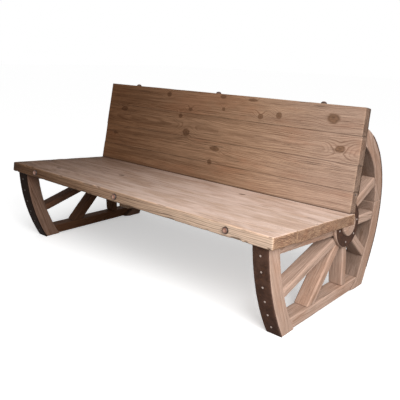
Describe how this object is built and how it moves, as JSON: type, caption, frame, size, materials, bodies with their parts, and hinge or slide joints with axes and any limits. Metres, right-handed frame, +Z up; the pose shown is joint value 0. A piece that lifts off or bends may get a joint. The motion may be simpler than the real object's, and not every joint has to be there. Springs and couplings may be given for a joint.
{
  "type": "bench",
  "caption": "Rustic plank bench: a thick seat and a leaning plank back carried between two cut-down wagon-wheel ends with iron tyres.",
  "frame": {"origin": "on the floor, at the bottom centre of the whole bench's box", "axes": "+X along the bench, to the right as seen from the front, +Y to the rear, +Z up"},
  "size_m": [1.76, 1.0297, 0.8907],
  "materials": {
    "seat_wood": "worn bare wood with a soft sheen",
    "back_wood": "worn bare wood with a soft sheen",
    "wheel_wood": "weathered bare wood",
    "batten_wood": "rough bare wood",
    "dark_iron": "dark brown rust patina",
    "rusty_iron": "rust brown with worn tops",
    "bright_steel": "dull steel"
  },
  "bodies": {
    "root": {"back_clavos": "rusty_iron", "back_end_screws": "bright_steel", "back_middle_batten": "batten_wood", "back_plank_1": "back_wood", "back_plank_2": "back_wood", "back_plank_3": "back_wood", "back_plank_4": "back_wood", "back_screws": "bright_steel", "left_base_rail": "wheel_wood", "left_end_batten": "batten_wood", "left_front_felloe": "wheel_wood", "left_front_lower_spoke": "wheel_wood", "left_front_tyre": "dark_iron", "left_front_tyre_rivets": "bright_steel", "left_front_upper_spoke": "wheel_wood", "left_hub": "wheel_wood", "left_hub_flange": "wheel_wood", "left_hub_ring": "dark_iron", "left_hub_screws": "bright_steel", "left_rear_felloe_lower": "wheel_wood", "left_rear_felloe_upper": "wheel_wood", "left_rear_level_spoke": "wheel_wood", "left_rear_lower_spoke": "wheel_wood", "left_rear_tyre": "dark_iron", "left_rear_tyre_rivets": "bright_steel", "left_rear_upper_spoke": "wheel_wood", "left_rim_dowels": "wheel_wood", "left_seat_rail": "wheel_wood", "left_upright_spoke": "wheel_wood", "right_base_rail": "wheel_wood", "right_end_batten": "batten_wood", "right_front_felloe": "wheel_wood", "right_front_lower_spoke": "wheel_wood", "right_front_tyre": "dark_iron", "right_front_tyre_rivets": "bright_steel", "right_front_upper_spoke": "wheel_wood", "right_hub": "wheel_wood", "right_hub_flange": "wheel_wood", "right_hub_ring": "dark_iron", "right_hub_screws": "bright_steel", "right_rear_felloe_lower": "wheel_wood", "right_rear_felloe_upper": "wheel_wood", "right_rear_level_spoke": "wheel_wood", "right_rear_lower_spoke": "wheel_wood", "right_rear_tyre": "dark_iron", "right_rear_tyre_rivets": "bright_steel", "right_rear_upper_spoke": "wheel_wood", "right_rim_dowels": "wheel_wood", "right_seat_rail": "wheel_wood", "right_upright_spoke": "wheel_wood", "seat_clavos": "rusty_iron", "seat_middle_batten": "batten_wood", "seat_plank_1": "seat_wood", "seat_plank_2": "seat_wood", "seat_plank_3": "seat_wood", "seat_plank_4": "seat_wood", "seat_screws": "bright_steel"}
  },
  "joints": []
}
